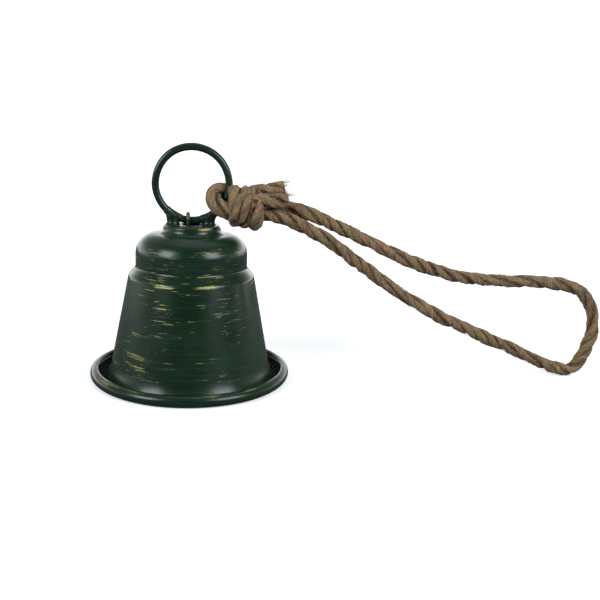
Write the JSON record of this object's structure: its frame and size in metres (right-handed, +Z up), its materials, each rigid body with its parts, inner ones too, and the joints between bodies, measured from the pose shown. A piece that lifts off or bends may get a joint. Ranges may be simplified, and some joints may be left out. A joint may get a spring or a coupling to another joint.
{
  "type": "christmas bell ornament",
  "caption": "Pressed metal bell with upturned brim, brazed hanging ring, swinging clapper and a knotted jute rope loop.",
  "frame": {"origin": "centre of the circle that the bell stands on", "axes": "+Z up along the bell's axis; the hanging ring lies in the XZ plane and the rope loop runs out along +X"},
  "size_m": [0.2668, 0.0998, 0.1166],
  "materials": {
    "green_paint": "dark green satin paint with dry-brushed gold streaks",
    "painted_wire": "thin dark green paint, worn to brown wire at the bend",
    "bare_steel": "dull zinc-plated steel",
    "jute": "three-strand laid jute rope, rough and hairy"
  },
  "bodies": {
    "bell": {"bell_shell": "green_paint", "hanging_ring": "green_paint", "ring_braze_left": "green_paint", "ring_braze_right": "green_paint", "rope_loop": "jute", "rope_eye": "jute", "rope_knot": "jute", "rope_tails": "jute"},
    "hanger": {"clapper_hanger": "painted_wire"},
    "clapper": {"clapper_rod": "bare_steel", "clapper_ball": "bare_steel"}
  },
  "joints": [
    {"name": "hanger_swing", "type": "hinge", "parent": "bell", "child": "hanger", "pos_m": [-0.002, 0, 0.07951], "axis": [1, 0, 0], "range_deg": [-6, 6]},
    {"name": "clapper_swing", "type": "hinge", "parent": "hanger", "child": "clapper", "pos_m": [-0.002, 0, 0.06051], "axis": [0, 1, 0], "range_deg": [-32, 32]}
  ]
}
